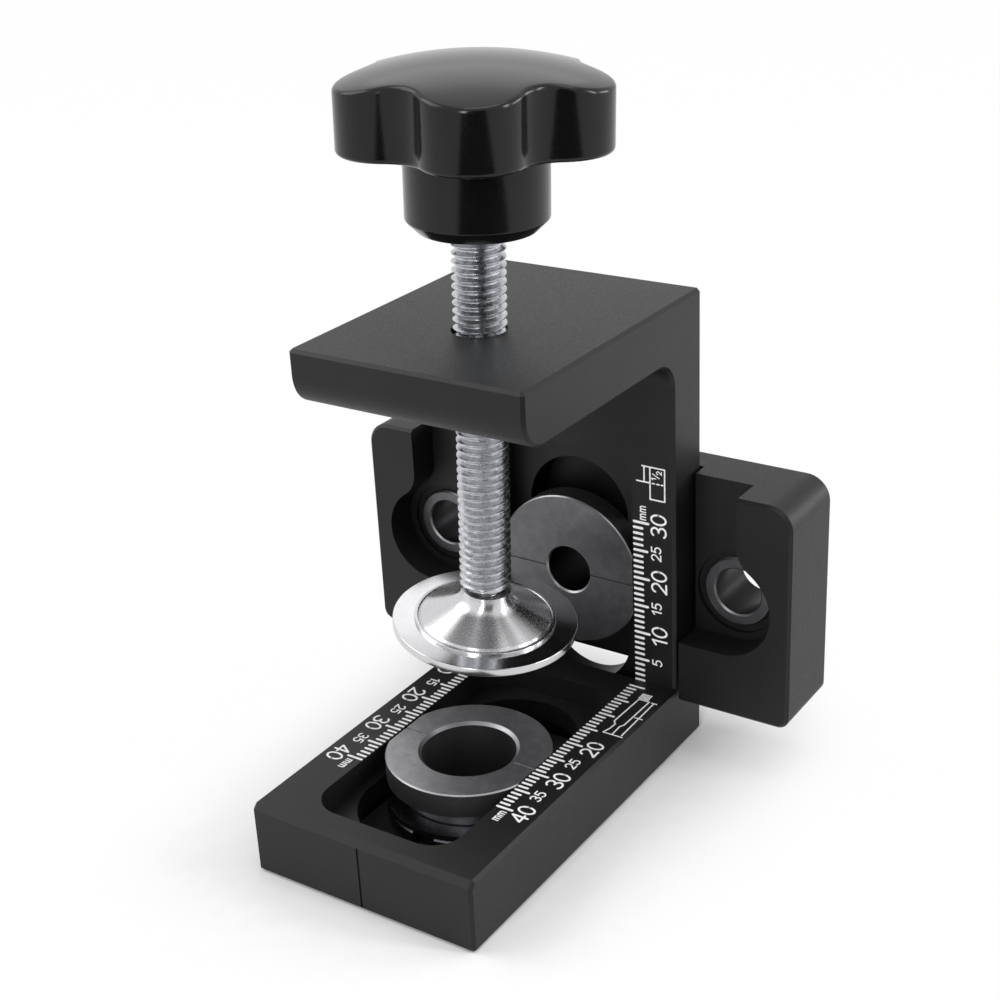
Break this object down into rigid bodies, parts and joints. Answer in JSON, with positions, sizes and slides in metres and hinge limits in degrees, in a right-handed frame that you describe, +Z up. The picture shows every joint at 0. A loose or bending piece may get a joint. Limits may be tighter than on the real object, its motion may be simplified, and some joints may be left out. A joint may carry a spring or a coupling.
{
  "type": "doweling jig",
  "caption": "Doweling jig: black C-frame with a star-knob clamp screw and swivel pad, a sliding cross block behind the leg, and flanged drill bushes.",
  "frame": {"origin": "where the fence face of the leg meets the table face of the base arm, midway across", "axes": "+X across the jig, +Y from the free ends of the arms towards the leg, +Z up along the leg"},
  "size_m": [0.08, 0.08, 0.1177],
  "materials": {
    "anodised": "matt black anodised",
    "dark_steel": "blackened and ground",
    "zinc": "zinc plated",
    "polished_steel": "polished",
    "fastener_steel": "plain steel",
    "knob_plastic": "moulded, glossy"
  },
  "bodies": {
    "frame": {"clamp_frame": "anodised", "base_arm": "anodised", "arm_screw_left": "fastener_steel", "arm_screw_right": "fastener_steel", "arm_pin_left": "fastener_steel", "arm_pin_right": "fastener_steel"},
    "cross_slide": {"cross_block": "anodised", "left_dowel_bush": "dark_steel", "right_dowel_bush": "dark_steel", "centre_bush": "dark_steel", "centre_washer": "fastener_steel"},
    "centre_lock": {"centre_nut": "fastener_steel"},
    "cam_slide": {"cam_bush": "dark_steel", "cam_washer": "fastener_steel"},
    "cam_lock": {"cam_nut": "fastener_steel"},
    "pad_carrier": {"ball_seat": "polished_steel"},
    "screw": {"clamp_screw": "zinc", "knob": "knob_plastic", "knob_insert": "zinc"},
    "pad": {"pad_plate": "polished_steel", "pad_dome": "polished_steel"}
  },
  "joints": [
    {"name": "cross_travel", "type": "slide", "parent": "frame", "child": "cross_slide", "axis": [0, 0, 1], "range_m": [-0.0128, 0.0092]},
    {"name": "centre_nut_turn", "type": "hinge", "parent": "cross_slide", "child": "centre_lock", "pos_m": [0, 0.0174, 0.0174], "axis": [0, 1, 0], "range_deg": [0, 180]},
    {"name": "cam_travel", "type": "slide", "parent": "frame", "child": "cam_slide", "axis": [0, 1, 0], "range_m": [-0.0112, 0.0116]},
    {"name": "cam_nut_turn", "type": "hinge", "parent": "cam_slide", "child": "cam_lock", "pos_m": [0, -0.031, -0.0097], "axis": [0, 0, -1], "range_deg": [0, 180]},
    {"name": "clamp_travel", "type": "slide", "parent": "frame", "child": "pad_carrier", "axis": [0.0247, 0.017, 0.9995], "range_m": [-0.0142, 0.0322]},
    {"name": "clamp_turn", "type": "hinge", "parent": "pad_carrier", "child": "screw", "pos_m": [-0.00098, -0.02268, 0.02202], "axis": [0.0247, 0.017, 0.9995], "range_deg": [-4091, 9275]},
    {"name": "pad_tilt", "type": "hinge", "parent": "pad_carrier", "child": "pad", "pos_m": [-0.00098, -0.02268, 0.02202], "axis": [0.1478, 0.989, 0], "range_deg": [-12, 1.2]}
  ],
  "couplings": [
    {"joint": "clamp_turn", "follows": "clamp_travel", "rad_per_m": 5026.5}
  ]
}
